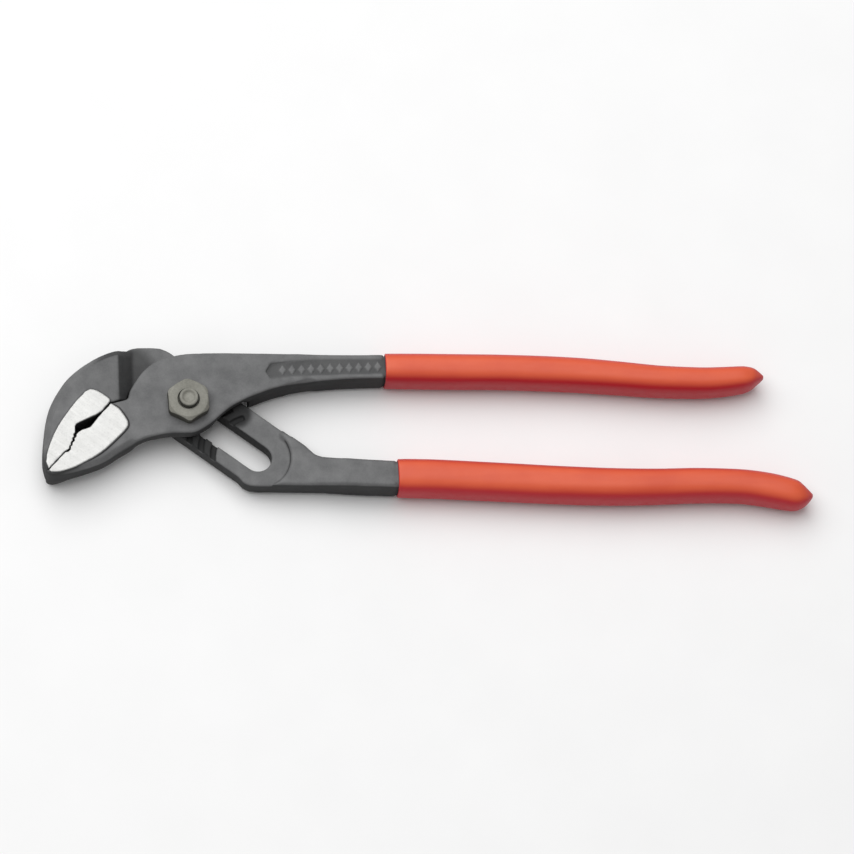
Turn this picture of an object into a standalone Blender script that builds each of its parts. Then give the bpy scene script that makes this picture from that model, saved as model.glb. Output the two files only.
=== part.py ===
"""Tongue and groove pliers, modelled in millimetres round the pivot bolt and written out in metres.

The tool lies flat: X runs along it with the jaws at -X, Y is across it, Z is its thickness.
Every outline below is in millimetres from the axis of the bolt in the first groove.
"""
import math

import bmesh
import bpy
from mathutils import Matrix, Vector
from mathutils.geometry import tessellate_polygon

MM = 0.001
WELD = 0.002
GRID_DIGITS = 7

# How far apart faces are set that would otherwise lie flush, and how far a cutter reaches past what it cuts.
OFFSET = 0.05
OVERSHOOT = 1.0

# How closely curved outlines are sampled.
CURVE_SPACING = 1.6

# The bolt's axis, from the middle of the tool's outline.
PIVOT_X = -77.87
PIVOT_Y = 6.73

# Levels above the surface the tool lies on.
PLATE_BOTTOM = 1.7
JOINT_REAR = 8.2
JOINT_FRONT = 8.4
BOSS_TOP = 13.4
JAW_TOP = 13.0
POLISHED_TOP = 14.0
POLISHED_BOTTOM = 10.0
RAISED_TOP = 10.0
ARM_BOTTOM = 1.2
ARM_TOP = 12.0
LOWER_ARM_TOP = 10.5
MID_HEIGHT = 6.6

# The slot in the rear lever.
SLOT_ANGLE = math.radians(-37.2)
PITCH = 4.7
POSITIONS = 7
SLOT_HALF_WIDTH = 4.5
LOWER_EDGE = 9.07
UPPER_EDGE = 12.4
RECESS_RADIUS = 10.5
RECESS_SPAN = (math.radians(48), math.radians(-66))
PLATE_EDGE = 0.3
ROUND_END_STEPS = 16
RECESS_STEPS = 24

# The tongue and its arc grooves.
TONGUE_RADIUS = 14.5
TONGUE_WIDTH = 1.5
TONGUE_SPAN = (math.radians(128), math.radians(178))
GROOVE_WIDTH = 1.9
GROOVE_SPAN = (math.radians(106), math.radians(196))
GROOVE_FLOOR = 6.9
TONGUE_TIP = 7.1
TONGUE_STEPS = 16
GROOVE_STEPS = 32

# The front jaw's heel clears the rear plate by a step: an arc and a straight run beside the plate's edge.
STEP_RADIUS = 15.5
STEP_SPAN = (math.radians(181), math.radians(212))
STEP_CLEARANCE = 0.35
STEP_STEPS = 10

# The chamfers along the jaws, inset and height, below and above; they fade out towards the tips.
REAR_JAW_RIMS = ((1.8, 3.4), (2.2, 2.3))
FRONT_JAW_RIMS = ((2.6, 4.8), (1.6, 2.0))
TIP_TAPER = 12.0

# Chamfers of the arms and the boss, and between which places along X their height changes.
RAISED_EDGE = 0.7
BOSS_EDGE = 0.5
ARM_EDGE = 0.8
REAR_RISE = (39.4, 50.6)
FRONT_FALL = (12.0, 38.0)

# The bolt and nut.
SHANK_RADIUS = 3.9
BORE_RADIUS = 4.0
GUIDE_RADIUS = 4.35
HEAD_RADIUS = 7.5
HEAD_TOP = 1.6
HEAD_EDGE = 0.5
NUT_WIDTH = 13.0
NUT_BOTTOM = 13.5
NUT_TOP = 17.3
NUT_CHAMFER = 1.0
NUT_CORNER_RADIUS = 7.2
NUT_TURN = math.radians(3)
STUB_TOP = 19.2
STUB_RADIUS = 3.4
STUB_EDGE = 0.5
DISH_DEPTH = 0.35
DISH_RADIUS = 2.0
NUT_FACE_RADIUS = 6.2
NUT_BORE_RADIUS = 3.5
ROUND_STEPS = 48

# The dipped grips, and how far short of a grip's tip its hollow and the steel inside end.
GRIP_WALL = 1.05
GRIP_GAP = 0.15
GRIP_CORNER = 4.2
HOLLOW_SHORT = 7.6
STEEL_SHORT = 9.0
HOLLOW_CORNER = 2.4
STEEL_CORNER = 2.2
HOLLOW_LEAD = 3.0
STEEL_LEAD = 4.0
GRIP_SPACING = 4.0
CORNER_STEPS = 6

# Colour, roughness and metallic value of each material.
LEVER_STEEL = ((0.13, 0.13, 0.135), 0.5, 0.85)
FASTENER_STEEL = ((0.19, 0.185, 0.165), 0.4, 0.9)
GRIP_PLASTIC = ((0.55, 0.045, 0.025), 0.35, 0.0)

# Cutting edge of the rear (upper) jaw, from its tip to its heel.
REAR_FACE = [(-45.3, -22.9), (-39.9, -16.9), (-38.4, -15.9), (-38.6, -15.0), (-37.8, -14.6), (-38.0, -13.7),
             (-37.3, -13.2), (-37.5, -12.3), (-36.9, -11.8), (-37.0, -10.9), (-36.5, -10.4), (-36.6, -9.4),
             (-36.6, -8.4), (-36.0, -7.4), (-33.4, -6.1), (-29.7, -4.4), (-27.7, -3.0), (-25.0, 0.3)]
# Cutting edge of the front (lower) jaw, from its tip to its heel.
FRONT_FACE = [(-45.1, -23.1), (-39.7, -17.1), (-38.7, -17.0), (-37.8, -16.0), (-37.9, -15.1), (-37.2, -14.7),
              (-37.3, -13.8), (-36.6, -13.3), (-36.7, -12.4), (-36.1, -11.9), (-36.0, -11.0), (-35.3, -10.3),
              (-34.3, -9.5), (-31.5, -8.4), (-30.5, -7.2), (-28.4, -4.4), (-27.1, -3.0), (-24.6, -0.2)]

# The heel of the rear jaw beside the boss, and the slope there from the jaw's face down to the joint plane:
# places along X and the share of the jaw's height that is left.
REAR_HEEL = [(-19.7, 2.0), (-19.1, 4.1), (-17.7, 6.8), (-17.65, 19.7)]
SHOULDER = [(-22.2, 1.0), (-17.5, 0.0)]

# Where the rear jaw runs into the plate, and the plate's outline round its raised arm.
JAW_ROOT = [(-27.0, 15.0), (-27.0, 3.0), (-23.0, 2.4)]
PLATE_FOOT = [(17.6, -25.5), (19.6, -26.45), (22.5, -26.75), (43.0, -26.95), (43.0, -18.5)]

# Outer profiles of the jaws.
REAR_BACK = [(-18.4, 19.7), (-20.0, 19.4), (-22.4, 19.0), (-25.0, 18.3), (-30.0, 16.0), (-35.0, 12.5),
             (-38.8, 9.0), (-41.2, 5.6), (-43.2, 2.1), (-44.8, -1.5), (-46.0, -6.4), (-46.7, -12.0),
             (-47.0, -17.5), (-46.8, -20.3), (-46.0, -22.3)]
FRONT_BELLY = [(-46.1, -22.9), (-44.7, -24.2), (-42.3, -24.6), (-37.0, -23.5), (-30.8, -21.5), (-27.2, -20.0),
               (-24.0, -18.1), (-20.6, -16.0), (-17.6, -14.2)]

# Edges of the polished faces, raised above the forged flanks.
REAR_POLISH = [(-25.4, 1.6), (-27.4, 3.1), (-29.4, 4.3), (-31.4, 4.8), (-33.0, 4.0), (-34.0, 2.9),
               (-36.0, 0.8), (-39.1, -3.4), (-41.8, -7.5), (-43.9, -11.7), (-45.4, -15.8), (-46.0, -18.2),
               (-46.2, -20.6)]
FRONT_POLISH = [(-44.8, -23.7), (-42.4, -24.1), (-39.5, -23.4), (-36.2, -22.2), (-32.9, -20.3),
                (-29.2, -18.1), (-25.6, -15.2), (-22.9, -12.5), (-20.7, -10.2), (-19.1, -8.0),
                (-19.2, -6.5), (-20.4, -4.3), (-22.0, -2.0)]

# The front lever between the jaw and the handle, and the arm beyond it.
BOSS_BELLY = [(-17.0, -14.0), (-13.9, -12.4), (-10.7, -11.3), (-7.0, -10.5), (-3.3, -10.25), (0.5, -10.2),
              (3.3, -9.6), (7.7, -6.8), (10.3, -4.4), (13.2, -1.9), (15.8, -0.1), (19.9, 2.1), (23.5, 3.6),
              (27.0, 5.0), (31.0, 6.2), (37.0, 7.3), (44.0, 8.2), (53.0, 8.9), (64.0, 9.2)]
BOSS_BACK = [(64.0, 17.4), (53.0, 17.3), (43.0, 17.4), (36.0, 17.6), (20.5, 17.5), (7.4, 17.4), (-0.1, 17.1),
             (-4.0, 16.4), (-6.3, 15.9), (-8.9, 14.9), (-10.6, 14.0), (-12.3, 12.7), (-13.9, 11.1),
             (-15.6, 9.0), (-17.3, 6.3), (-18.6, 3.9), (-19.1, 1.6)]
ARM_LOWER_BELLY = [(20.0, 2.2), (23.5, 3.65), (27.0, 5.05), (31.0, 6.25), (37.0, 7.35), (44.0, 8.25),
                   (53.0, 8.95), (64.0, 9.25)]
ARM_LOWER_BACK = [(64.0, 17.35), (53.0, 17.25), (43.0, 17.35), (36.0, 17.55), (20.0, 17.45)]

# The stretch of the rear arm between its raised end at the slot and the grip.
REAR_ARM = [(28.5, -26.85), (40.0, -26.9), (50.0, -27.5), (58.0, -27.9), (66.9, -28.1), (66.9, -19.0),
            (58.0, -18.5), (48.5, -17.9), (43.2, -17.2), (41.0, -16.3)]

# The hollow behind the front lever that clears the raised end of the rear arm: an arc and its far edge.
RELIEF_CLEARANCE = 0.2
RELIEF_TOP = 10.3
RELIEF_SPAN = (math.radians(-62), math.radians(54))
RELIEF_EDGE = [(7.8, 10.2), (19.0, 1.6), (21.0, -4.0), (8.0, -14.0)]

# The sunk panel on the front arm.
PANEL_FLOOR = 11.6
PANEL = [(25.6, 11.1), (27.4, 8.9), (40.0, 9.9), (66.0, 10.6), (66.0, 15.9), (40.0, 15.6), (27.4, 14.0)]

# The hump of the rear lever behind the boss.
REAR_HUMP = [(-4.8, 19.2), (-6.4, 20.1), (-8.4, 20.9), (-15.8, 21.05), (-17.4, 20.8), (-18.6, 20.3)]

# Centre lines of the grips: x, y, width, thickness.
UPPER_GRIP = [(64.5, 13.45, 9.9, 12.9), (66.0, 13.45, 10.5, 13.2), (83.0, 13.25, 10.7, 13.2),
              (102.0, 13.1, 10.6, 13.2), (115.0, 12.7, 10.6, 13.2), (128.0, 12.05, 10.4, 13.2),
              (141.0, 11.0, 10.0, 13.2), (154.0, 9.85, 9.5, 13.1), (167.0, 9.4, 9.2, 12.7),
              (174.0, 9.7, 8.9, 12.2), (180.0, 10.3, 8.3, 11.6), (182.6, 10.7, 7.7, 10.8),
              (185.0, 11.1, 6.1, 9.0), (187.0, 11.2, 3.4, 5.6), (188.4, 11.25, 1.2, 2.2)]
LOWER_GRIP = [(67.5, -23.6, 11.2, 12.9), (69.3, -23.6, 11.9, 13.2), (81.0, -23.9, 12.0, 13.2),
              (101.0, -24.95, 11.9, 13.2), (114.0, -25.65, 11.8, 13.2), (127.0, -26.25, 11.6, 13.2),
              (140.0, -26.6, 11.3, 13.2), (153.0, -26.5, 10.9, 13.1), (166.0, -26.2, 10.7, 12.9),
              (179.0, -26.5, 10.4, 12.7), (188.0, -27.7, 10.4, 12.4), (194.0, -29.0, 10.0, 11.8),
              (197.4, -29.8, 9.2, 10.6), (199.8, -30.0, 6.6, 8.2), (201.6, -29.9, 3.4, 4.8),
              (202.6, -29.8, 1.2, 2.0)]


def clear_scene():
    for item in list(bpy.data.objects):
        bpy.data.objects.remove(item, do_unlink=True)


def slot_point(along, across):
    """A point from its place along the slot and its distance to the lower left of the slot's centre line."""
    cos_a, sin_a = math.cos(SLOT_ANGLE), math.sin(SLOT_ANGLE)
    return (along * cos_a + across * sin_a, along * sin_a - across * cos_a)


def arc(centre, radius, start, end, steps):
    points = []
    for step in range(steps + 1):
        angle = start + (end - start) * step / steps
        points.append((centre[0] + radius * math.cos(angle), centre[1] + radius * math.sin(angle)))
    return points


def smooth(points, spacing=CURVE_SPACING):
    """A curve through the points (Catmull-Rom), sampled about every spacing millimetres."""
    result = []
    last = len(points) - 1
    for index in range(last):
        before = Vector(points[max(index - 1, 0)])
        start = Vector(points[index])
        end = Vector(points[index + 1])
        after = Vector(points[min(index + 2, last)])
        steps = max(1, round((end - start).length / spacing))
        for step in range(steps):
            t = step / steps
            point = 0.5 * (2 * start + (end - before) * t + (2 * before - 5 * start + 4 * end - after) * t * t
                           + (3 * start - before - 3 * end + after) * t ** 3)
            result.append((point.x, point.y))
    result.append(tuple(points[-1]))
    return result


def sector(centre, radius, width, span, steps):
    """The outline of a curved bar: part of a ring round centre."""
    inner = arc(centre, radius - width / 2, span[0], span[1], steps)
    outer = arc(centre, radius + width / 2, span[0], span[1], steps)
    return outer + list(reversed(inner))


def weighted(points, weight):
    return [(x, y, weight) for x, y in points]


def tapered(points, tip, reach):
    """Weights that grow from nothing at the tip to 1 at reach from it."""
    return [(x, y, min(1.0, math.dist((x, y), tip) / reach)) for x, y in points]


def inset(points, distance):
    """Move each corner of an anticlockwise outline inwards by distance times its weight."""
    count = len(points)
    moved = []
    for index, (x, y, weight) in enumerate(points):
        before = Vector(points[index - 1][:2])
        here = Vector((x, y))
        after = Vector(points[(index + 1) % count][:2])
        first = (here - before).normalized()
        second = (after - here).normalized()
        normal_a = Vector((-first.y, first.x))
        normal_b = Vector((-second.y, second.x))
        bisector = (normal_a + normal_b).normalized()
        stretch = min(1.0 / max(bisector.dot(normal_a), 0.5), 1.6)
        moved.append(here + bisector * distance * weight * stretch)
    return [(point.x, point.y) for point in moved]


def add_object(name, data):
    item = bpy.data.objects.new(name, data)
    bpy.context.scene.collection.objects.link(item)
    return item


def evaluated_mesh(item):
    graph = bpy.context.evaluated_depsgraph_get()
    return bpy.data.meshes.new_from_object(item.evaluated_get(graph))


def finish_shell(mesh):
    """Weld, round to a grid so that flush faces are exactly flush, and turn all faces outwards."""
    shell = bmesh.new()
    shell.from_mesh(mesh)
    bmesh.ops.remove_doubles(shell, verts=shell.verts, dist=WELD * MM)
    for vert in shell.verts:
        vert.co = [round(value, GRID_DIGITS) for value in vert.co]
    bmesh.ops.recalc_face_normals(shell, faces=shell.faces)
    shell.to_mesh(mesh)
    shell.free()


def loft(name, rings):
    """A closed body through rings of equal length, given in millimetres, with its ends filled."""
    count = len(rings[0])
    verts = [Vector(point) * MM for ring in rings for point in ring]
    faces = []
    for level in range(len(rings) - 1):
        low = level * count
        high = low + count
        for index in range(count):
            nxt = (index + 1) % count
            faces.append((low + index, low + nxt, high + nxt, high + index))
    end = len(verts) - count
    for first in (0, end):
        for triangle in tessellate_polygon([verts[first:first + count]]):
            faces.append(tuple(first + index for index in triangle))
    mesh = bpy.data.meshes.new(name)
    mesh.from_pydata(verts, [], faces)
    finish_shell(mesh)
    return add_object(name, mesh)


def jaw_body(name, points, top, bottom_edge, top_edge):
    """A jaw: its rims are cut back by (inset, height), scaled by the weight of each point."""
    full = [(x, y) for x, y, _ in points]
    levels = [(inset(points, bottom_edge[0]), PLATE_BOTTOM), (full, PLATE_BOTTOM + bottom_edge[1]),
              (full, top - top_edge[1]), (inset(points, top_edge[0]), top)]
    return loft(name, [[(x, y, z) for x, y in outline] for outline, z in levels])


def plate_body(name, outline, bottom, top, edge=0.0):
    """A flat outline given thickness, with its rims chamfered by edge."""
    curve = bpy.data.curves.new(name, "CURVE")
    curve.dimensions = "2D"
    curve.fill_mode = "BOTH"
    curve.extrude = ((top - bottom) / 2 - edge) * MM
    curve.bevel_depth = edge * MM
    curve.offset = -edge * MM
    curve.bevel_resolution = 0
    spline = curve.splines.new("POLY")
    spline.points.add(len(outline) - 1)
    for point, (x, y) in zip(spline.points, outline):
        point.co = (x * MM, y * MM, 0, 1)
    spline.use_cyclic_u = True
    source = add_object(name + "_outline", curve)
    mesh = evaluated_mesh(source)
    bpy.data.objects.remove(source, do_unlink=True)
    mesh.transform(Matrix.Translation((0, 0, (top + bottom) / 2 * MM)))
    finish_shell(mesh)
    return add_object(name, mesh)


def cylinder(name, radius, bottom, top, segments=ROUND_STEPS, turn=0.0):
    """An upright cylinder, or a prism with the given number of sides."""
    place = Matrix.Translation((0, 0, (top + bottom) / 2 * MM)) @ Matrix.Rotation(turn, 4, "Z")
    shell = bmesh.new()
    bmesh.ops.create_cone(shell, cap_ends=True, segments=segments, radius1=radius * MM, radius2=radius * MM,
                          depth=(top - bottom) * MM, matrix=place)
    mesh = bpy.data.meshes.new(name)
    shell.to_mesh(mesh)
    shell.free()
    return add_object(name, mesh)


def turned_body(name, profile):
    """A solid of revolution round Z; the profile runs from top to bottom on its outer side."""
    mesh = bpy.data.meshes.new(name)
    verts = [(radius * MM, 0, z * MM) for radius, z in profile]
    mesh.from_pydata(verts, [(index, index + 1) for index in range(len(verts) - 1)], [])
    item = add_object(name, mesh)
    screw = item.modifiers.new("turn", "SCREW")
    screw.steps = ROUND_STEPS
    screw.render_steps = ROUND_STEPS
    screw.use_merge_vertices = True
    screw.merge_threshold = WELD * MM
    item.data = evaluated_mesh(item)
    item.modifiers.clear()
    return item


def combine(target, other, operation):
    """Apply a Boolean to target and drop the other body."""
    modifier = target.modifiers.new("combine", "BOOLEAN")
    modifier.operation = operation
    modifier.solver = "EXACT"
    modifier.object = other
    result = evaluated_mesh(target)
    target.modifiers.clear()
    target.data = result
    bpy.data.objects.remove(other, do_unlink=True)


def clean(item):
    """Weld the seams that the Booleans leave and remove slivers."""
    shell = bmesh.new()
    shell.from_mesh(item.data)
    bmesh.ops.remove_doubles(shell, verts=shell.verts, dist=WELD * MM)
    bmesh.ops.dissolve_degenerate(shell, edges=shell.edges, dist=WELD / 2 * MM)
    bmesh.ops.triangulate(shell, faces=shell.faces)
    bmesh.ops.recalc_face_normals(shell, faces=shell.faces)
    shell.to_mesh(item.data)
    shell.free()


def slope(item, creases, base, side):
    """Scale heights above (side 1) or below (side -1) base, by a factor that is linear between creases."""
    shell = bmesh.new()
    shell.from_mesh(item.data)
    for x, _ in creases:
        parts = shell.verts[:] + shell.edges[:] + shell.faces[:]
        bmesh.ops.bisect_plane(shell, geom=parts, plane_co=(x * MM, 0, 0), plane_no=(1, 0, 0))
    for vert in shell.verts:
        height = vert.co.z / MM - base
        if height * side > WELD:
            vert.co.z = (base + height * factor_at(creases, vert.co.x / MM)) * MM
    shell.to_mesh(item.data)
    shell.free()


def factor_at(creases, x):
    if x <= creases[0][0]:
        return creases[0][1]
    for (x0, f0), (x1, f1) in zip(creases, creases[1:]):
        if x <= x1:
            return f0 + (f1 - f0) * (x - x0) / (x1 - x0)
    return creases[-1][1]


def handle_section(width, thickness, corner):
    """A rounded rectangle across the handle: offsets (sideways, up) from its centre, anticlockwise."""
    corner = min(corner, 0.49 * width, 0.49 * thickness)
    points = []
    for quarter, (side, level) in enumerate([(1, 1), (-1, 1), (-1, -1), (1, -1)]):
        centre = (side * (width / 2 - corner), level * (thickness / 2 - corner))
        start = quarter * math.pi / 2
        points.extend(arc(centre, corner, start, start + math.pi / 2, CORNER_STEPS))
    return points


def size_at(stations, x):
    for (x0, _, w0, t0), (x1, _, w1, t1) in zip(stations, stations[1:]):
        if x <= x1:
            t = max(0.0, (x - x0) / (x1 - x0))
            return w0 + (w1 - w0) * t, t0 + (t1 - t0) * t
    return stations[-1][2], stations[-1][3]


def handle_body(name, stations, shrink, corner, short=0.0, lead=0.0):
    """A handle along its centre line, shrink inside the grip's skin, ending short of its tip."""
    centres = smooth([(x, y) for x, y, _, _ in stations], GRIP_SPACING)
    rings = []
    for index, (x, y) in enumerate(centres):
        if x > stations[-1][0] - short:
            break
        ahead = Vector(centres[min(index + 1, len(centres) - 1)])
        behind = Vector(centres[max(index - 1, 0)])
        direction = (ahead - behind).normalized()
        width, thickness = size_at(stations, x)
        ring = []
        for across, up in handle_section(width - 2 * shrink, thickness - 2 * shrink, corner):
            ring.append((x - direction.y * across, y + direction.x * across, MID_HEIGHT + up))
        rings.append(ring)
    if lead:
        rings.insert(0, [(x - lead, y, z) for x, y, z in rings[0]])
    return loft(name, rings)


def grip(name, stations):
    """A dipped sleeve: closed at the tip, open where the arm enters, with a thin even wall."""
    sleeve = handle_body(name, stations, 0.0, GRIP_CORNER)
    hollow = handle_body("hollow", stations, GRIP_WALL, HOLLOW_CORNER, HOLLOW_SHORT, HOLLOW_LEAD)
    combine(sleeve, hollow, "DIFFERENCE")
    return sleeve


def handle_steel(stations):
    """The steel inside a grip."""
    return handle_body("steel", stations, GRIP_WALL + GRIP_GAP, STEEL_CORNER, STEEL_SHORT, STEEL_LEAD)


def rear_lever():
    """The lever with the slot: the upper jaw and the lower handle."""
    slot_end = slot_point(PITCH * (POSITIONS - 1), 0)
    plate = [slot_point(-15.5, LOWER_EDGE), slot_point(27.0, LOWER_EDGE)] + PLATE_FOOT
    plate += [slot_point(37.4, OFFSET - UPPER_EDGE), slot_point(-14.0, OFFSET - UPPER_EDGE)]
    plate += smooth(REAR_HUMP) + JAW_ROOT
    lever = plate_body("rear_lever", plate, PLATE_BOTTOM, JOINT_REAR, PLATE_EDGE)

    jaw = weighted(REAR_FACE + REAR_HEEL, 0)
    jaw += tapered(smooth(REAR_BACK), REAR_FACE[0], TIP_TAPER)
    body = jaw_body("jaw", jaw, JAW_TOP, *REAR_JAW_RIMS)
    slope(body, SHOULDER, JOINT_REAR + OFFSET, 1)
    combine(lever, body, "UNION")
    polish = REAR_FACE + [(-24.9, 0.9)] + smooth(REAR_POLISH)
    combine(lever, plate_body("polish", polish, POLISHED_BOTTOM, POLISHED_TOP), "UNION")

    arm = [slot_point(29.0, -UPPER_EDGE)]
    arm += arc(slot_end, RECESS_RADIUS, *RECESS_SPAN, RECESS_STEPS)
    arm += REAR_ARM + [slot_point(38.0, -UPPER_EDGE), slot_point(32.0, -UPPER_EDGE)]
    bottom = PLATE_BOTTOM + 2 * OFFSET
    body = plate_body("arm", arm, bottom, RAISED_TOP, RAISED_EDGE)
    rise = (ARM_TOP - MID_HEIGHT) / (RAISED_TOP - MID_HEIGHT)
    drop = (ARM_BOTTOM - MID_HEIGHT) / (bottom - MID_HEIGHT)
    slope(body, [(REAR_RISE[0], 1.0), (REAR_RISE[1], rise)], MID_HEIGHT, 1)
    slope(body, [(REAR_RISE[0], 1.0), (REAR_RISE[1], drop)], MID_HEIGHT, -1)
    combine(lever, body, "UNION")
    combine(lever, handle_steel(LOWER_GRIP), "UNION")

    slot = arc(slot_end, SLOT_HALF_WIDTH, SLOT_ANGLE - math.pi / 2, SLOT_ANGLE + math.pi / 2,
               ROUND_END_STEPS)
    slot += arc((0, 0), SLOT_HALF_WIDTH, SLOT_ANGLE + math.pi / 2, SLOT_ANGLE + 1.5 * math.pi,
                ROUND_END_STEPS)
    combine(lever, plate_body("slot", slot, -OVERSHOOT, POLISHED_TOP + OVERSHOOT), "DIFFERENCE")
    for position in range(POSITIONS):
        centre = slot_point(PITCH * position, 0)
        groove = sector(centre, TONGUE_RADIUS, GROOVE_WIDTH, GROOVE_SPAN, GROOVE_STEPS)
        combine(lever, plate_body("groove", groove, GROOVE_FLOOR, JOINT_FRONT + 0.2), "DIFFERENCE")
    clean(lever)
    return lever


def front_lever():
    """The lever that carries the bolt: the lower jaw and the upper handle."""
    step_edge = LOWER_EDGE + STEP_CLEARANCE
    step = [slot_point(-15.0, step_edge), slot_point(-12.5, step_edge)]
    step += arc((0, 0), STEP_RADIUS, *STEP_SPAN, STEP_STEPS)
    jaw = weighted(FRONT_FACE, 0) + [(-20.5, 0.9, 0)] + weighted(step, 0)
    jaw += tapered(list(reversed(smooth(FRONT_BELLY))), FRONT_FACE[0], TIP_TAPER)
    lever = jaw_body("front_lever", list(reversed(jaw)), BOSS_TOP, *FRONT_JAW_RIMS)

    boss = smooth(BOSS_BELLY) + smooth(BOSS_BACK) + [(-24.0, -0.8), (-22.0, -8.0)]
    body = plate_body("boss", boss, JOINT_FRONT, BOSS_TOP, BOSS_EDGE)
    fall = (ARM_TOP - MID_HEIGHT) / (BOSS_TOP - MID_HEIGHT)
    slope(body, [(FRONT_FALL[0], 1.0), (FRONT_FALL[1], fall)], MID_HEIGHT, 1)
    combine(lever, body, "UNION")
    arm = smooth(ARM_LOWER_BELLY) + smooth(ARM_LOWER_BACK)
    combine(lever, plate_body("arm", arm, ARM_BOTTOM, LOWER_ARM_TOP, ARM_EDGE), "UNION")
    combine(lever, handle_steel(UPPER_GRIP), "UNION")
    polish = list(reversed(FRONT_FACE)) + smooth(FRONT_POLISH)
    combine(lever, plate_body("polish", polish, POLISHED_BOTTOM, POLISHED_TOP), "UNION")

    tongue = sector((0, 0), TONGUE_RADIUS, TONGUE_WIDTH, TONGUE_SPAN, TONGUE_STEPS)
    combine(lever, plate_body("tongue", tongue, TONGUE_TIP, JOINT_FRONT + OVERSHOOT), "UNION")
    relief = arc((0, 0), RECESS_RADIUS - RELIEF_CLEARANCE, *RELIEF_SPAN, RECESS_STEPS) + RELIEF_EDGE
    combine(lever, plate_body("relief", relief, JOINT_FRONT - OVERSHOOT, RELIEF_TOP), "DIFFERENCE")
    combine(lever, cylinder("bore", BORE_RADIUS, 0.0, POLISHED_TOP + OVERSHOOT), "DIFFERENCE")
    combine(lever, plate_body("panel", PANEL, PANEL_FLOOR, BOSS_TOP + OVERSHOOT), "DIFFERENCE")
    clean(lever)
    return lever


def joint_bolt():
    """A bolt with a flat head behind the slot, a shoulder guided in it and a riveted end above the nut."""
    dish = STUB_TOP - DISH_DEPTH
    return turned_body("joint_bolt", [
        (0, dish), (DISH_RADIUS, dish), (STUB_RADIUS - STUB_EDGE, STUB_TOP),
        (STUB_RADIUS, STUB_TOP - STUB_EDGE), (STUB_RADIUS, BOSS_TOP), (SHANK_RADIUS, BOSS_TOP),
        (SHANK_RADIUS, JOINT_REAR), (GUIDE_RADIUS, JOINT_REAR), (GUIDE_RADIUS, HEAD_TOP),
        (HEAD_RADIUS, HEAD_TOP), (HEAD_RADIUS, HEAD_EDGE), (HEAD_RADIUS - HEAD_EDGE, 0), (0, 0)])


def joint_nut():
    """A hexagon with one corner towards the belly of the jaw, its corners and upper rim turned off."""
    radius = NUT_WIDTH / 2 / math.cos(math.pi / 6)
    below, above = NUT_BOTTOM - OVERSHOOT, NUT_TOP + OVERSHOOT
    nut = cylinder("joint_nut", radius, NUT_BOTTOM, NUT_TOP, segments=6, turn=NUT_TURN)
    turned = turned_body("rounding", [
        (0, above), (NUT_FACE_RADIUS, above), (NUT_FACE_RADIUS, NUT_TOP),
        (NUT_CORNER_RADIUS, NUT_TOP - NUT_CHAMFER), (NUT_CORNER_RADIUS, below), (0, below)])
    combine(nut, turned, "INTERSECT")
    combine(nut, cylinder("bore", NUT_BORE_RADIUS, below, above), "DIFFERENCE")
    clean(nut)
    return nut


def material(name, colour, roughness, metallic):
    result = bpy.data.materials.new(name)
    result.use_nodes = True
    shader = result.node_tree.nodes["Principled BSDF"]
    shader.inputs["Base Color"].default_value = (*colour, 1)
    shader.inputs["Roughness"].default_value = roughness
    shader.inputs["Metallic"].default_value = metallic
    return result


def main():
    clear_scene()
    collection = bpy.data.collections.new("tongue_and_groove_pliers")
    bpy.context.scene.collection.children.link(collection)
    pivot = bpy.data.objects.new("pivot", None)
    pivot.location = (PIVOT_X * MM, PIVOT_Y * MM, 0)
    collection.objects.link(pivot)
    steel = material("lever_steel", *LEVER_STEEL)
    fastener = material("fastener_steel", *FASTENER_STEEL)
    plastic = material("grip_plastic", *GRIP_PLASTIC)
    parts = [(rear_lever(), steel), (front_lever(), steel), (joint_bolt(), fastener), (joint_nut(), fastener),
             (grip("upper_grip", UPPER_GRIP), plastic), (grip("lower_grip", LOWER_GRIP), plastic)]
    for item, finish in parts:
        item.data.name = item.name
        item.data.materials.append(finish)
        item.data.shade_smooth()
        item.data.set_sharp_from_angle(angle=math.radians(30))
        bpy.context.scene.collection.objects.unlink(item)
        collection.objects.link(item)
        item.parent = pivot


main()
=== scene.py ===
"""Tongue and groove pliers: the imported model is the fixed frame, and the fine surfaces go over it."""

import math

import bmesh
import bpy
import numpy as np
from mathutils import Matrix, Vector, noise


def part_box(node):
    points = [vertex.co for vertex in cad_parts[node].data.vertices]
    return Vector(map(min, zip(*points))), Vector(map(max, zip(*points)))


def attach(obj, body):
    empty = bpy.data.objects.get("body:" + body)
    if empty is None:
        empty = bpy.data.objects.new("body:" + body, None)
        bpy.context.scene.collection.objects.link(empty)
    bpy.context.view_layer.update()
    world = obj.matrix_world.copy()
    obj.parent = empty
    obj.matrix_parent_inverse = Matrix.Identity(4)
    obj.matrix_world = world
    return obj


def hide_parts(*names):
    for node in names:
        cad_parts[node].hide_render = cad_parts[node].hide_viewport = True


MM = 0.001

# How finely the levers and the fasteners are remeshed, how many rounds their edges are softened, and how
# near each other the vertices of a CAD node are merged first.
LEVER_VOXEL = 0.28 * MM
LEVER_SOFTEN = 8
FASTENER_VOXEL = 0.13 * MM
FASTENER_SOFTEN = 5
WELD = 0.001 * MM

# The slow unevenness that the forging dies leave: how long each wave is, how deep, and where in the
# noise it is read.
DIE_WAVES = [(7.0 * MM, 0.07 * MM, (3.1, 1.7, 0.9)), (2.2 * MM, 0.02 * MM, (6.2, 3.4, 1.8))]

# Where the levers keep their teeth crisp, and where two forged forms melt into each other:
# spots and reaches in millimetres from the bolt's axis, and the height from which they melt.
TEETH_SPOT = (-37.5, -12.5)
TEETH_REACH = 6.5
TEETH_KEPT = 0.85
MELTED_SPOTS = [((-18.5, -13.0), 8.5, 0.0), ((37.5, 5.5), 6.0, 0.0), ((31.2, -8.4), 3.2, 8.3)]
MELT_ROUNDS = 90

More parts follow.
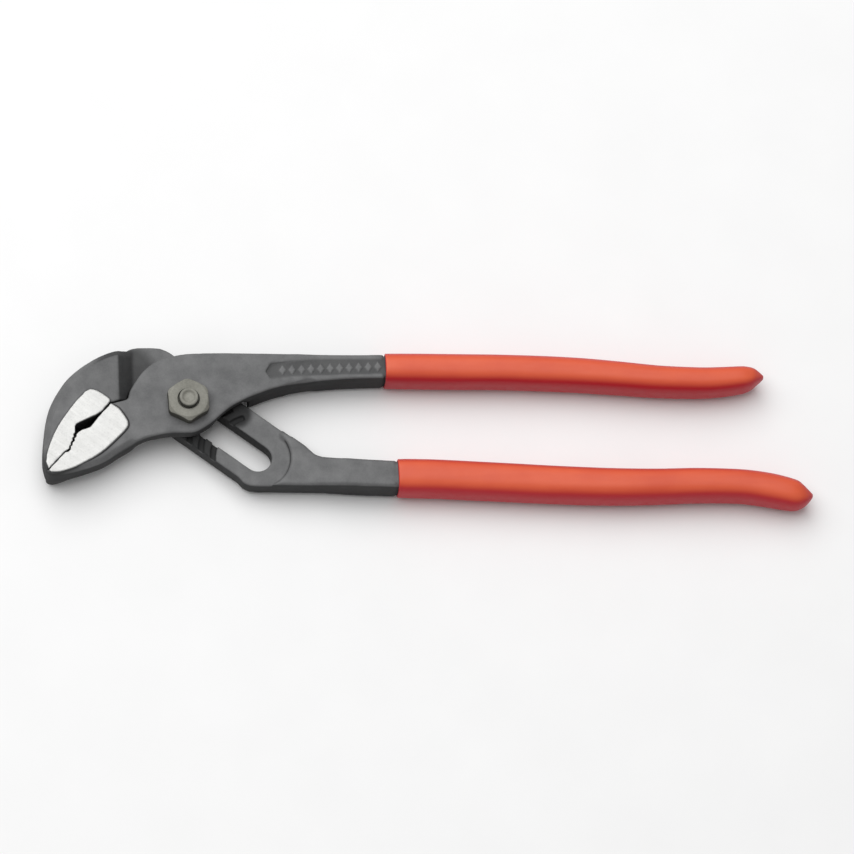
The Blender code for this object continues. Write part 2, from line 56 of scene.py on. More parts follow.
# A spot has its full strength out to this share of its reach.
SPOT_CORE = 0.6

# Painted shadow: how far the arc grooves hold it, the heights between which it lies in them and in a dark
# line round the ground faces (where it starts, is full, begins to fade and has gone), and the spots beside
# the grooves and on the shoulder that are painted dark, each with its place and reach, its lowest and
# highest point and its strength. All in millimetres.
GROOVES_REACH = 30.0
GROOVE_BAND = (6.6, 6.8, 7.5, 7.95)
RIM_BAND = (13.44, 13.5, 13.66, 13.74)
SHADOW_SPOTS = [((16.0, -1.9), 6.0, 6.8, 8.6, 0.95), ((1.6, -12.6), 9.0, 6.8, 8.6, 0.95),
               ((-19.6, 11.0), 13.0, 7.9, 13.1, 0.8)]
SPOT_FADE = 0.4
SHADOW_FACING = 0.4

# A surface counts as a flank, and gets painted shade, where its normal points little upwards: not at the
# first value, fully at the second.
LEVER_FLANK = (0.58, 0.22)
GRIP_FLANK = (0.985, 0.45)

# How far a vertex stands proud of its neighbours where it counts as an outer edge (wear and a painted
# highlight), or sunk where it counts as a crevice (painted shade), as a share of a voxel, and how many
# rounds the edge, crevice and flank masks are spread.
OUTER_EDGE = (0.04, 0.22)
CREVICE = (0.03, 0.16)
EDGE_SPREAD = 3
CREVICE_SPREAD = 4
FLANK_SPREAD = 2

# The bolt's axis, the height of the ground jaw faces and of the sunk panel's floor, in the CAD frame.
PIVOT = Vector((-77.87, 6.73, 0)) * MM
GROUND_LEVEL = 13.68 * MM
GROUND_FACING = 0.9
ARM_PANEL_LEVEL = 11.6 * MM

# How far below the ground level the melting fades out and has gone, and the die waves fade out, and how
# near the panel's floor a point counts as panel.
MELT_FADE = (0.7 * MM, 0.3 * MM)
WAVE_FADE = 0.25 * MM
PANEL_FADE = (0.3 * MM, 0.1 * MM)

# The raised pattern on the arm: lozenges on the floor of the sunk panel.
PANEL_START = 24.0 * MM
PATTERN_START = 31.0 * MM
PATTERN_PITCH = 3.1 * MM
PATTERN_COUNT = 11
PATTERN_SLOPE = 0.04
PATTERN_MIDDLE = 11.9 * MM
PATTERN_HEIGHT = 0.32 * MM
LOZENGE_HALF_LENGTH = 1.35 * MM
LOZENGE_HALF_WIDTH = 1.9 * MM
LOZENGE_FLAT = 0.72

# The dipped grips: centre line, width and thickness as in the CAD, in millimetres from the bolt's axis.
UPPER_GRIP = [(64.5, 13.45, 9.9, 12.9), (66.0, 13.45, 10.5, 13.2), (83.0, 13.25, 10.7, 13.2),
              (102.0, 13.1, 10.6, 13.2), (115.0, 12.7, 10.6, 13.2), (128.0, 12.05, 10.4, 13.2),
              (141.0, 11.0, 10.0, 13.2), (154.0, 9.85, 9.5, 13.1), (167.0, 9.4, 9.2, 12.7),
              (174.0, 9.7, 8.9, 12.2), (180.0, 10.3, 8.3, 11.6), (182.6, 10.7, 7.7, 10.8),
              (185.0, 11.1, 6.1, 9.0), (187.0, 11.2, 3.4, 5.6), (188.4, 11.25, 1.2, 2.2)]
LOWER_GRIP = [(67.5, -23.6, 11.2, 12.9), (69.3, -23.6, 11.9, 13.2), (81.0, -23.9, 12.0, 13.2),
              (101.0, -24.95, 11.9, 13.2), (114.0, -25.65, 11.8, 13.2), (127.0, -26.25, 11.6, 13.2),
              (140.0, -26.6, 11.3, 13.2), (153.0, -26.5, 10.9, 13.1), (166.0, -26.2, 10.7, 12.9),
              (179.0, -26.5, 10.4, 12.7), (188.0, -27.7, 10.4, 12.4), (194.0, -29.0, 10.0, 11.8),
              (197.4, -29.8, 9.2, 10.6), (199.8, -30.0, 6.6, 8.2), (201.6, -29.9, 3.4, 4.8),
              (202.6, -29.8, 1.2, 2.0)]
GRIP_MIDDLE = 6.6
GRIP_WALL = 1.05
GRIP_STEP = 1.0
HOLLOW_STEP = 4.0
LIP_TURN = 20
TIP_TURN = 15
GRIP_SIDES = 72
OUTER_POWER = 2.7
INNER_POWER = 4.0
HOLLOW_SHORT = 7.6
TIP_DOME = 0.05

# The slow waves of the dipped coat: how deep they are, how long, how much longer along the grip, and the
# radius at which they are read round it.
DIP_DEPTH = 0.05
DIP_SCALE = 7.0
DIP_STRETCH = 0.5
DIP_RADIUS = 6

# The bolt as a turned profile: radius and height in millimetres, from the top of its axis down.
BOLT_PROFILE = [(0.0, 18.5), (0.8, 18.52), (1.3, 18.56), (1.7, 18.7), (1.95, 18.95), (2.2, 19.14),
                (2.5, 19.2), (2.8, 19.12), (3.02, 18.9), (3.1, 18.5), (3.12, 17.6), (3.05, 17.1),
                (3.05, 16.7), (3.4, 16.4), (3.4, 13.5), (3.9, 13.3), (3.9, 8.2), (4.35, 8.2), (4.35, 1.6),
                (7.2, 1.6), (7.42, 1.5), (7.5, 1.3), (7.5, 0.62), (7.42, 0.35), (7.2, 0.16), (6.9, 0.04),
                (6.6, 0.0), (0.0, 0.0)]
BOLT_STEPS = 128
BOLT_CREASE = math.radians(50)

# Camera: the direction from the tool to it, what it looks at, its distance, the width it sees there, the
# width of its sensor and the range of distances it draws.
CAMERA_BACK = (-0.096, -0.35, 0.932)
CAMERA_TARGET = Vector((-0.2, 0.3, 8.2)) * MM
CAMERA_DISTANCE = 2.5
VIEW_WIDTH = 276.4 * MM
SENSOR_WIDTH = 36.0
CAMERA_CLIP = (0.1, 20.0)

# Each piece: its name, the CAD node it stands for, the body it rides on, and for a lever whether it has
# the pattern, for a grip its stations.
LEVERS = [("forged_rear_lever", "rear_lever", "rear", False),
          ("forged_front_lever", "front_lever", "front", True)]
GRIPS = [("dipped_upper_grip", "upper_grip", "front", UPPER_GRIP),
         ("dipped_lower_grip", "lower_grip", "rear", LOWER_GRIP)]

# The studio: a broad soft light overhead, the floor and the surround.
LIGHT_PLACE = Vector((-0.45, 0.55, 1.5))
LIGHT_SIZE = 2.1
LIGHT_POWER = 34.0
FLOOR_SIZE = 8.0
SURROUND = 0.38

# The steel of the levers and of the fasteners: darkest and lightest tone, the tone of worn edges with their
# painted highlight, metallic value and depth of the grain. Painted shade darkens towards this share of the
# darkest tone.
LEVER_STEEL = ((0.104, 0.105, 0.107), (0.182, 0.183, 0.184), (0.26, 0.26, 0.26), 0.15, 0.00003)
FASTENER_STEEL = ((0.15, 0.148, 0.128), (0.30, 0.295, 0.262), (0.42, 0.41, 0.37), 0.12, 0.00002)
SHADE_SHARE = 0.16

# The ground faces: the way their grinding marks run, their two tones, their smudges and their specks.
GRINDING_ANGLE = math.radians(38)
GROUND_TONES = ((0.435, 0.435, 0.427), (0.497, 0.497, 0.484))
GROUND_SMUDGE = (0.365, 0.365, 0.358)
GROUND_SPECK = (0.28, 0.28, 0.273)

# The grips' two reds, their clouds and the painted shade on their flanks, and the floor's two tones.
GRIP_TONES = ((0.62, 0.088, 0.036), (0.70, 0.115, 0.048))
GRIP_CLOUD = (0.56, 0.065, 0.03)
GRIP_SHADE_TONE = (0.46, 0.004, 0.018)
FLOOR_TONES = ((0.83, 0.83, 0.83), (0.87, 0.87, 0.87))


def mesh_arrays(mesh):
    points = np.empty(len(mesh.vertices) * 3, np.float32)
    normals = np.empty(len(mesh.vertices) * 3, np.float32)
    mesh.vertices.foreach_get("co", points)
    mesh.vertices.foreach_get("normal", normals)
    return points.reshape(-1, 3).astype(np.float64), normals.reshape(-1, 3).astype(np.float64)


def set_points(mesh, points):
    mesh.vertices.foreach_set("co", points.astype(np.float32).ravel())
    mesh.update()


def mesh_edges(mesh):
    edges = np.empty(len(mesh.edges) * 2, np.int32)
    mesh.edges.foreach_get("vertices", edges)
    return edges.reshape(-1, 2)


def neighbour_mean(values, edges, count):
    """The mean of each vertex's neighbours."""
    near_end = np.concatenate((edges[:, 0], edges[:, 1]))
    far_end = np.concatenate((edges[:, 1], edges[:, 0]))
    number = np.maximum(np.bincount(near_end, minlength=count), 1)
    columns = values.reshape(count, -1).T
    total = [np.bincount(near_end, weights=column[far_end], minlength=count) / number for column in columns]
    return np.array(total).T.reshape(values.shape)


def applied(item):
    """Replace an object's mesh with what its modifiers make of it."""
    graph = bpy.context.evaluated_depsgraph_get()
    mesh = bpy.data.meshes.new_from_object(item.evaluated_get(graph))
    item.modifiers.clear()
    item.data = mesh
    return item


def node_copy(name, node):
    item = bpy.data.objects.new(name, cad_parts[node].data.copy())
    bpy.context.scene.collection.objects.link(item)
    item.data.materials.clear()
    weld = item.modifiers.new("weld", "WELD")
    weld.merge_threshold = WELD
    return item


def skinned(item, voxel):
    """Put a fine even skin over an object, and give its mesh, edges and points."""
    skin = item.modifiers.new("skin", "REMESH")
    skin.mode = "VOXEL"
    skin.voxel_size = voxel
    skin.use_smooth_shade = True
    mesh = applied(item).data
    return mesh, mesh_edges(mesh), mesh_arrays(mesh)[0]


def soften(points, edges, rounds, keep=None):
    """Smooth out the steps of the voxels and round the edges, less where keep is near 1."""
    count = len(points)
    strength = 0.5 if keep is None else (0.5 * (1 - keep))[:, None]
    for _ in range(rounds):
        points = points + strength * (neighbour_mean(points, edges, count) - points)
    return points


def melt(points, edges, strength, rounds):
    """Smooth hard, only where strength is above nothing."""
    active = strength > 0
    if not active.any():
        return points
    inside = active[edges[:, 0]] | active[edges[:, 1]]
    used, local = np.unique(edges[inside], return_inverse=True)
    part = soften(points[used], local.reshape(-1, 2), rounds, 1 - strength[used])
    result = points.copy()
    result[used] = np.where(active[used][:, None], part, points[used])
    return result


def fit_box(points, node):
    """Stretch the points back to the node's box, which the smoothing has drawn in."""
    low, high = (np.array(corner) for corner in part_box(node))
    here_low, here_high = points.min(0), points.max(0)
    return low + (points - here_low) * (high - low) / (here_high - here_low)


def spread(values, edges, rounds):
    for _ in range(rounds):
        values = 0.5 * values + 0.5 * neighbour_mean(values, edges, len(values))
    return values


def store(mesh, name, values):
    attribute = mesh.attributes.new(name, "FLOAT", "POINT")
    attribute.data.foreach_set("value", np.asarray(values, np.float32))


def store_wear_and_shade(mesh, edges, reach):
    """Keep for the material: outer edges (wear and painted highlight), crevices and steep flanks (painted
    shade).
    """
    points, normals = mesh_arrays(mesh)
    bulge = ((points - neighbour_mean(points, edges, len(points))) * normals).sum(1) / reach
    # Outer edges: wear, and a painted highlight.
    store(mesh, "outer_edge", smooth_step(*OUTER_EDGE, spread(bulge, edges, EDGE_SPREAD)))
    # Crevices: painted shade.
    store(mesh, "crevice_shade", smooth_step(*CREVICE, spread(-bulge, edges, CREVICE_SPREAD)))
    # Steep flanks: painted shade.
    flank_shade = smooth_step(*LEVER_FLANK, np.abs(normals[:, 2]))
    store(mesh, "flank_shade", spread(flank_shade, edges, FLANK_SPREAD))


def smooth_step(low, high, value):
    t = np.clip((value - low) / (high - low), 0, 1)
    return t * t * (3 - 2 * t)


def die_waves(points):
    """How far the forging dies left each point proud or sunk."""
    total = np.zeros(len(points))
    for length, depth, offset in DIE_WAVES:
        places = (Vector(point) / length + Vector(offset) for point in points)
        total += depth * np.array([noise.noise(place) for place in places])
    return total


def arm_pattern(points):
    """The height of the lozenges that stand on the floor of the sunk panel."""
    along = points[:, 0] - PIVOT.x - PATTERN_START
    across = points[:, 1] - PIVOT.y - (PATTERN_MIDDLE + PATTERN_SLOPE * along)
    slot = np.round(along / PATTERN_PITCH)
    inside = (slot >= 0) & (slot < PATTERN_COUNT)
    along = along - slot * PATTERN_PITCH
    reach = np.abs(along) / LOZENGE_HALF_LENGTH + np.abs(across) / LOZENGE_HALF_WIDTH
    return PATTERN_HEIGHT * smooth_step(1.0, LOZENGE_FLAT, reach) * inside


def near(points, centre, radius):
    """1 close to a spot, given in millimetres from the bolt's axis, falling to 0 at the radius."""
    middle = np.array(PIVOT)[:2] + np.array(centre) * MM
    distance = np.linalg.norm(points[:, :2] - middle, axis=1) / MM
    return smooth_step(radius, radius * SPOT_CORE, distance)


def band(height, start, full, fading, gone):
    """1 between two heights, rising from start to full and falling from fading to gone."""
    return smooth_step(start, full, height) * smooth_step(gone, fading, height)


def painted_shadow(points, normals):
    """Painted shadow in and beside the arc grooves, on the shoulder and as a dark line round the ground
    faces.
    """
    height = points[:, 2] / MM
    groove = band(height, *GROOVE_BAND) * (normals[:, 2] > SHADOW_FACING)
    dark = np.maximum(groove * near(points, (0.0, 0.0), GROOVES_REACH), band(height, *RIM_BAND))
    for spot, reach, low, high, strength in SHADOW_SPOTS:
        level = band(height, low, low + SPOT_FADE, high - SPOT_FADE, high)
        dark = np.maximum(dark, level * near(points, spot, reach) * strength)
    return dark


def lever(name, node, pattern):
    """A forged lever with softened edges and slow die waves; its teeth and ground faces stay crisp."""
    item = node_copy(name, node)
    mesh, edges, points = skinned(item, LEVER_VOXEL)
    teeth = near(points, TEETH_SPOT, TEETH_REACH) * TEETH_KEPT
    points = soften(points, edges, LEVER_SOFTEN, teeth)
    ground = smooth_step(GROUND_LEVEL - MELT_FADE[0], GROUND_LEVEL - MELT_FADE[1], points[:, 2])
    for spot, reach, floor in MELTED_SPOTS:
        melting = near(points, spot, reach) * (1 - ground) * (points[:, 2] >= floor * MM)
        points = melt(points, edges, melting, MELT_ROUNDS)
    set_points(mesh, fit_box(points, node))
    points, normals = mesh_arrays(mesh)
    ground = smooth_step(GROUND_LEVEL - WAVE_FADE, GROUND_LEVEL, points[:, 2])
    push = die_waves(points) * (1 - ground)
    panel = np.zeros(len(points))
    if pattern:
        level = smooth_step(*PANEL_FADE, np.abs(points[:, 2] - ARM_PANEL_LEVEL))
        panel = level * np.clip(normals[:, 2], 0, 1) ** 4 * (points[:, 0] > PIVOT.x + PANEL_START)
        raised = arm_pattern(points)
        push = push * (1 - panel) + raised * smooth_step(0.1, 0.6, panel)
        panel = panel * (1 - smooth_step(0.0, 0.5 * PATTERN_HEIGHT, raised))
    set_points(mesh, fit_box(points + normals * push[:, None], node))
    store_wear_and_shade(mesh, edges, LEVER_VOXEL)
    store(mesh, "panel", panel)
    # The painted shadow in the grooves, on the shoulder and round the ground faces.
    store(mesh, "painted_shadow", painted_shadow(points, normals))
    return item


def spline_at(stations, place):
    """Stations read as a smooth curve (Catmull-Rom) at a place counted in stations."""
    last = len(stations) - 1
    index = min(int(place), last - 1)
    t = place - index
    four = [np.array(stations[min(max(index + shift, 0), last)]) for shift in (-1, 0, 1, 2)]
    before, start, end, after = four
    return 0.5 * (2 * start + (end - before) * t + (2 * before - 5 * start + 4 * end - after) * t * t
                  + (3 * start - before - 3 * end + after) * t ** 3)


def grip_rows(stations):
    """The stations of a grip, close together: x, y, width and thickness in millimetres."""
    rows = []
    for index in range(len(stations) - 1):
        steps = max(4, math.ceil((stations[index + 1][0] - stations[index][0]) / GRIP_STEP))
        rows.extend(spline_at(stations, index + step / steps) for step in range(steps))
    rows.append(np.array(stations[-1]))
    return np.array(rows)


def grip_ring(rows, x, shrink, power, scale=1.0, advance=0.0):
    """A rounded oval across the grip at x, shrink inside its skin, with the slow waves of a dipped coat."""
    y, width, thick = (np.interp(x, rows[:, 0], rows[:, column]) for column in (1, 2, 3))
    half = GRIP_STEP / 2
    behind, ahead = (np.interp(place, rows[:, 0], rows[:, 1]) for place in (x - half, x + half))
    along = Vector((GRIP_STEP, ahead - behind)).normalized()
    ring = []
    for step in range(GRIP_SIDES):
        angle = 2 * math.pi * step / GRIP_SIDES
        cos_a, sin_a = math.cos(angle), math.sin(angle)
        side = Vector((x * DIP_STRETCH, y * DIP_STRETCH, 0)) + Vector((0, cos_a, sin_a)) * DIP_RADIUS
        dip = DIP_DEPTH * (1 + noise.noise(side / DIP_SCALE)) if shrink < GRIP_WALL / 2 else 0.0
        across = math.copysign(abs(cos_a) ** (2 / power), cos_a) * (width / 2 - shrink - dip) * scale
        up = math.copysign(abs(sin_a) ** (2 / power), sin_a) * (thick / 2 - shrink - dip) * scale
        ring.append(PIVOT + Vector((x + along.x * advance - along.y * across,
                                    y + along.y * advance + along.x * across, GRIP_MIDDLE + up)) * MM)
    return ring


def dipped_grip(name, stations):
    """A dipped sleeve: its inner wall, the rounded lip at the mouth, the skin and the rounded tip."""
    rows = grip_rows(stations)
    mouth, tip = stations[0][0], stations[-1][0]
    lip = GRIP_WALL / 2
    inner = np.arange(tip - HOLLOW_SHORT, mouth + lip, -HOLLOW_STEP)
    rings = [grip_ring(rows, x, GRIP_WALL, INNER_POWER) for x in inner]
    for turn in range(0, 181, LIP_TURN):
        angle = math.radians(turn)
        power = INNER_POWER + (OUTER_POWER - INNER_POWER) * turn / 180
        x = mouth + lip * (1 - math.sin(angle))
        rings.append(grip_ring(rows, x, lip * (1 + math.cos(angle)), power))
    rings.extend(grip_ring(rows, x, 0.0, OUTER_POWER) for x in rows[:, 0] if mouth + 2 * lip < x)
    for turn in range(TIP_TURN, 90, TIP_TURN):
        angle = math.radians(turn)
        rings.append(grip_ring(rows, tip, 0.0, OUTER_POWER, math.cos(angle), TIP_DOME * math.sin(angle)))
    shell = bmesh.new()
    made = [[shell.verts.new(point) for point in ring] for ring in rings]
    for low, high in zip(made, made[1:]):
        for side in range(GRIP_SIDES):
            nxt = (side + 1) % GRIP_SIDES
            shell.faces.new((low[side], low[nxt], high[nxt], high[side]))
    for ring in (made[0], made[-1]):
        shell.faces.new(ring)
    item = shell_object(name, shell)
    normals = mesh_arrays(item.data)[1]
    # Where the grip gets painted shade: its flanks and underside.
    store(item.data, "flank_shade", smooth_step(*GRIP_FLANK, normals[:, 2]))
    return item


def shell_object(name, shell):
    bmesh.ops.recalc_face_normals(shell, faces=shell.faces)
    mesh = bpy.data.meshes.new(name)
    shell.to_mesh(mesh)
    shell.free()
    mesh.shade_smooth()
    item = bpy.data.objects.new(name, mesh)
    bpy.context.scene.collection.objects.link(item)
    return item


def turned(name, profile, steps):
    """A solid of revolution round the bolt's axis, from its profile of radius and height."""
    shell = bmesh.new()
    rings = []
    for radius, height in profile:
        angles = [2 * math.pi * step / steps for step in range(steps)] if radius else [0.0]
        places = [Vector((radius * math.cos(angle), radius * math.sin(angle), height)) for angle in angles]
        rings.append([shell.verts.new(PIVOT + place * MM) for place in places])
    for upper, lower in zip(rings, rings[1:]):
        for step in range(steps):
            nxt = (step + 1) % steps
            if len(upper) == 1:
                shell.faces.new((upper[0], lower[step], lower[nxt]))
            elif len(lower) == 1:
                shell.faces.new((upper[step], lower[0], upper[nxt]))
            else:
                shell.faces.new((upper[step], lower[step], lower[nxt], upper[nxt]))
    item = shell_object(name, shell)
    item.data.set_sharp_from_angle(angle=BOLT_CREASE)
    return item


def fastener(item, node):
    """Soften a nut's or bolt's edges, and store its edge wear and painted highlight, and its painted shade.
    """
    mesh, edges, points = skinned(item, FASTENER_VOXEL)
    set_points(mesh, fit_box(soften(points, edges, FASTENER_SOFTEN), node))
    store_wear_and_shade(mesh, edges, FASTENER_VOXEL)
    return item


class Nodes:
    """A short way to write a material's node tree."""

    def __init__(self, name):
        self.material = bpy.data.materials.new(name)
        self.material.use_nodes = True
        self.tree = self.material.node_tree
        self.shader = self.tree.nodes["Principled BSDF"]

    def add(self, kind, inputs=None, **settings):
        node = self.tree.nodes.new(kind)
        for key, value in settings.items():
            setattr(node, key, value)
        for key, value in (inputs or {}).items():
            self.feed(node.inputs[key], value)
        return node

    def feed(self, socket, value):
        if isinstance(value, bpy.types.NodeSocket):
            self.tree.links.new(value, socket)
        else:
            socket.default_value = value

    def place(self):
        return self.add("ShaderNodeTexCoord").outputs["Object"]

    def noise(self, scale, detail=4.0, roughness=0.6, vector=None):
        """Noise over the object's own coordinates: scale is how many blotches go in a metre."""
        node = self.add("ShaderNodeTexNoise", {"Vector": vector or self.place(), "Scale": scale,
                                               "Detail": detail, "Roughness": roughness})
        return node.outputs["Fac"]

    def stretched(self, angle, factors):
        """Object coordinates turned about Z and stretched, for grinding marks."""
        turn = self.add("ShaderNodeMapping", {"Vector": self.place(), "Rotation": (0, 0, angle)})
        return self.add("ShaderNodeMapping", {"Vector": turn.outputs[0], "Scale": factors}).outputs[0]

    def ramp(self, value, low, high, start=0.0, end=1.0):
        node = self.add("ShaderNodeMapRange", {"Value": value, "From Min": low, "From Max": high,
                                               "To Min": start, "To Max": end})
        return node.outputs[0]

    def math(self, operation, first, second):
        node = self.add("ShaderNodeMath", operation=operation)
        self.feed(node.inputs[0], first)
        self.feed(node.inputs[1], second)
        return node.outputs[0]

    def blend(self, factor, first, second):
        node = self.add("ShaderNodeMix", data_type="RGBA")
        self.feed(node.inputs[0], factor)
        self.feed(node.inputs[6], (*first, 1) if isinstance(first, tuple) else first)
        self.feed(node.inputs[7], (*second, 1) if isinstance(second, tuple) else second)
        return node.outputs[2]

    def attribute(self, name):
        return self.add("ShaderNodeAttribute", attribute_name=name).outputs["Fac"]

    def bump(self, height, distance, strength=1.0, normal=None):
        node = self.add("ShaderNodeBump", {"Height": height, "Distance": distance, "Strength": strength})
        if normal:
            self.feed(node.inputs["Normal"], normal)
        return node.outputs[0]

    def finish(self, **inputs):
        for key, value in inputs.items():
            self.feed(self.shader.inputs[key.replace("_", " ")], value)
        return self.material


def forged_steel(name, dark, light, worn_and_highlight_tone, metallic, grain):
    """Dark phosphated forging, mottled and grained: brighter on outer edges (wear and a painted highlight),
    painted shade on its flanks, in crevices and grooves and round the ground faces, and a darker sunk
    panel.
    """
    make = Nodes(name)
    blotch = make.ramp(make.noise(160.0, 5.0, 0.62), 0.32, 0.68)
    speck = make.ramp(make.noise(1900.0, 3.0, 0.7), 0.3, 0.75)
    mottle = make.math("ADD", make.math("MULTIPLY", blotch, 0.6), make.math("MULTIPLY", speck, 0.4))
    tone = make.blend(mottle, dark, light)
    # Outer edges: chips of rubbed, brighter steel, which also serve as a painted highlight along the edges.
    chips = make.ramp(make.noise(700.0, 4.0, 0.7), 0.38, 0.62, 0.3, 1.0)
    edge_wear_and_highlight = make.math("MULTIPLY", make.attribute("outer_edge"), chips)
    colour = make.blend(make.math("MULTIPLY", edge_wear_and_highlight, 0.5), tone, worn_and_highlight_tone)
    # Painted shade on flanks, in crevices, in and beside the grooves, on the shoulder and round the ground
    # faces, together with the darker floor of the sunk panel.
    painted_shade_and_panel = make.math("MAXIMUM", make.math("MULTIPLY", make.attribute("flank_shade"), 0.8),
                      make.math("MULTIPLY", make.attribute("crevice_shade"), 0.85))
    painted_shade_and_panel = make.math("MAXIMUM", painted_shade_and_panel, make.math("MULTIPLY", make.attribute("panel"), 0.45))
    painted_shade_and_panel = make.math("MAXIMUM", painted_shade_and_panel, make.math("MULTIPLY", make.attribute("painted_shadow"), 0.9))
    colour = make.blend(painted_shade_and_panel, colour, tuple(value * SHADE_SHARE for value in dark))
    rough = make.math("SUBTRACT", make.ramp(speck, 0.0, 1.0, 0.52, 0.68), make.math("MULTIPLY", edge_wear_and_highlight, 0.12))
    rough = make.math("ADD", rough, make.math("MULTIPLY", painted_shade_and_panel, 0.15))
    coarse = make.bump(make.noise(520.0, 3.0, 0.55), 0.00008, 0.7)
    fine = make.bump(make.noise(2600.0, 2.0, 0.6), grain, 0.8, coarse)
    return make.finish(Base_Color=colour, Metallic=metallic, Roughness=rough, Normal=fine,
                       Specular_IOR_Level=0.14)


def ground_steel(name):
    """The ground jaw faces: bare bright steel with fine straight grinding marks and faint smudges."""
    make = Nodes(name)
    marks = make.noise(1.0, 4.0, 0.65, make.stretched(GRINDING_ANGLE, (60.0, 2600.0, 60.0)))
    broad = make.noise(1.0, 2.0, 0.5, make.stretched(GRINDING_ANGLE, (40.0, 620.0, 40.0)))
    smudge = make.ramp(make.noise(260.0, 4.0, 0.6), 0.35, 0.7)
    speck = make.ramp(make.noise(1700.0, 3.0, 0.7), 0.5, 0.75, 0.0, 0.5)
    tone = make.blend(make.ramp(marks, 0.3, 0.72), *GROUND_TONES)
    colour = make.blend(make.math("MULTIPLY", smudge, 0.4), tone, GROUND_SMUDGE)
    colour = make.blend(speck, colour, GROUND_SPECK)
    rough = make.ramp(broad, 0.3, 0.7, 0.31, 0.41)
    normal = make.bump(make.math("ADD", marks, broad), 0.00003, 0.5)
    return make.finish(Base_Color=colour, Metallic=0.55, Roughness=rough, Normal=normal)


def dipped_plastic(name):
    """Red dipped plastic: a faint orange-peel skin, slight streaks of colour, painted shade in deeper red
    on its flanks.
    """
    make = Nodes(name)
    streak = make.noise(1.0, 3.0, 0.55, make.stretched(0.0, (18.0, 150.0, 150.0)))
    cloud = make.noise(90.0, 3.0, 0.5)
    tone = make.blend(make.ramp(streak, 0.32, 0.68), *GRIP_TONES)
    colour = make.blend(make.ramp(cloud, 0.4, 0.75, 0.0, 0.4), tone, GRIP_CLOUD)
    # Painted shade: the flanks and underside in deeper red.
    colour = make.blend(make.math("MULTIPLY", make.attribute("flank_shade"), 0.95), colour, GRIP_SHADE_TONE)
    rough = make.ramp(make.noise(420.0, 3.0, 0.6), 0.3, 0.7, 0.36, 0.46)
    peel = make.bump(make.noise(1100.0, 2.0, 0.5), 0.00002, 0.5)
    normal = make.bump(make.noise(130.0, 2.0, 0.4), 0.00012, 0.35, peel)
    return make.finish(Base_Color=colour, Roughness=rough, Normal=normal, Specular_IOR_Level=0.32)


def paint_ground_faces(item, ground):
    """Give the ground material to the faces that lie on the ground level and look up."""
    mesh = item.data
    mesh.materials.append(ground)
    count = len(mesh.polygons)
    centres = np.empty(count * 3, np.float32)
    normals = np.empty(count * 3, np.float32)
    mesh.polygons.foreach_get("center", centres)
    mesh.polygons.foreach_get("normal", normals)
    facing_up = normals.reshape(-1, 3)[:, 2] > GROUND_FACING
    picked = (centres.reshape(-1, 3)[:, 2] > GROUND_LEVEL) & facing_up
    mesh.polygons.foreach_set("material_index", picked.astype(np.int32))
    mesh.update()


def settle(item, body, node, slot, *materials):
    """Make a piece ride with its body in place of its CAD node, with its materials."""
    for material in materials:
        item.data.materials.append(material)
    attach(item, body)
    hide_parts(node)
    return item


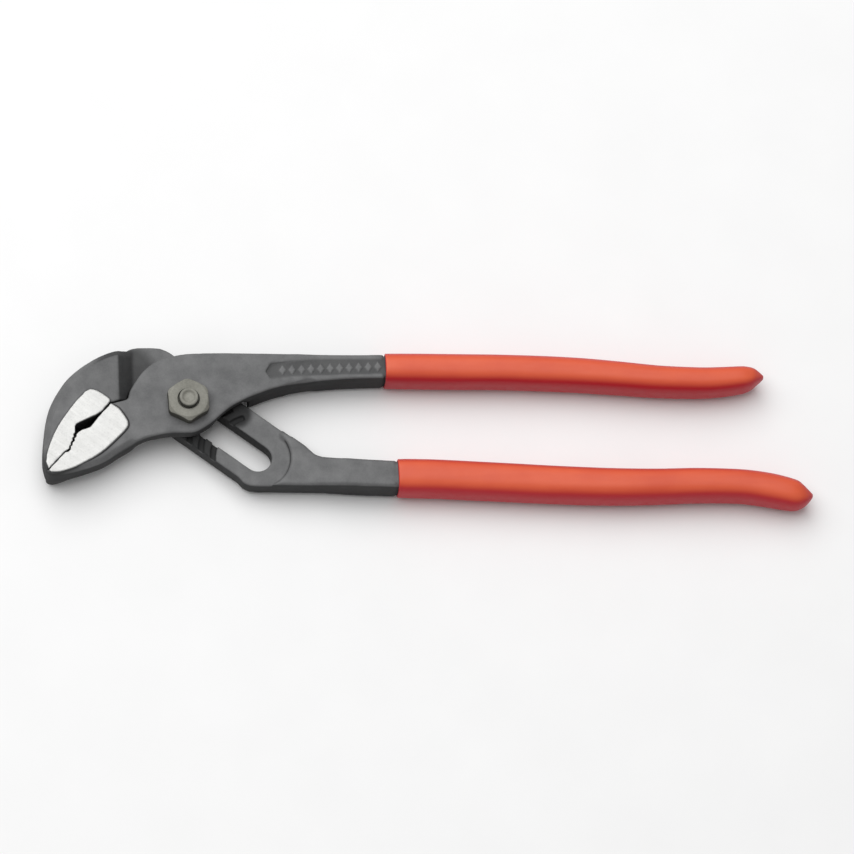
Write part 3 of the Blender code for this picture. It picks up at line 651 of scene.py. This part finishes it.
def add_studio():
    """A pale floor, one broad soft light overhead and a pale surround."""
    shell = bmesh.new()
    bmesh.ops.create_grid(shell, x_segments=2, y_segments=2, size=FLOOR_SIZE / 2)
    floor = shell_object("studio_floor", shell)
    make = Nodes("floor_paper")
    tint = make.blend(make.noise(35.0, 3.0, 0.5), *FLOOR_TONES)
    rough = make.ramp(make.noise(60.0), 0.3, 0.7, 0.7, 0.8)
    floor.data.materials.append(make.finish(Base_Color=tint, Roughness=rough))
    lamp = bpy.data.lights.new("overhead", "AREA")
    lamp.size = LIGHT_SIZE
    lamp.energy = LIGHT_POWER
    item = bpy.data.objects.new("overhead", lamp)
    item.location = LIGHT_PLACE
    item.rotation_euler = (-LIGHT_PLACE).to_track_quat("-Z", "Y").to_euler()
    bpy.context.scene.collection.objects.link(item)
    bpy.context.scene.view_settings.view_transform = "Standard"
    world = bpy.data.worlds.new("surround")
    bpy.context.scene.world = world
    world.use_nodes = True
    world.node_tree.nodes["Background"].inputs[0].default_value = (1, 1, 1, 1)
    world.node_tree.nodes["Background"].inputs[1].default_value = SURROUND


def add_camera():
    back = Vector(CAMERA_BACK).normalized()
    right = Vector((1, 0, 0)) - back * back.x
    right.normalize()
    up = back.cross(right)
    data = bpy.data.cameras.new("camera")
    data.sensor_width = SENSOR_WIDTH
    data.lens = SENSOR_WIDTH * CAMERA_DISTANCE / VIEW_WIDTH
    data.clip_start, data.clip_end = CAMERA_CLIP
    camera = bpy.data.objects.new("camera", data)
    camera.matrix_world = (Matrix.Translation(CAMERA_TARGET + back * CAMERA_DISTANCE)
                           @ Matrix((right, up, back)).transposed().to_4x4())
    bpy.context.scene.collection.objects.link(camera)
    bpy.context.scene.camera = camera


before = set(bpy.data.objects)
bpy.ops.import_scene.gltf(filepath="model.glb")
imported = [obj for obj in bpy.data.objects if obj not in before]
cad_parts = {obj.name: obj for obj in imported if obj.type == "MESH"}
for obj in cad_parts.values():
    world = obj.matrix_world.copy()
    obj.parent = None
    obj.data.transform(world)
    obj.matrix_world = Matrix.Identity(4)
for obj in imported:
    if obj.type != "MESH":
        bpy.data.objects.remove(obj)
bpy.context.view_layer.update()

lever_finish = forged_steel("phosphated_forging", *LEVER_STEEL)
fastener_finish = forged_steel("fastener_steel", *FASTENER_STEEL)
ground_finish = ground_steel("ground_steel")
grip_finish = dipped_plastic("dipped_plastic")

for piece_name, node_name, body_name, has_pattern in LEVERS:
    piece = lever(piece_name, node_name, has_pattern)
    settle(piece, body_name, node_name, "lever_steel", lever_finish)
    paint_ground_faces(piece, ground_finish)
for piece_name, node_name, body_name, grip_stations in GRIPS:
    settle(dipped_grip(piece_name, grip_stations), body_name, node_name, "grip_plastic", grip_finish)
bolt = fastener(turned("turned_bolt", BOLT_PROFILE, BOLT_STEPS), "joint_bolt")
settle(bolt, "pivot", "joint_bolt", "fastener_steel", fastener_finish)
nut = fastener(node_copy("hexagon_nut", "joint_nut"), "joint_nut")
settle(nut, "pivot", "joint_nut", "fastener_steel", fastener_finish)

add_studio()
add_camera()
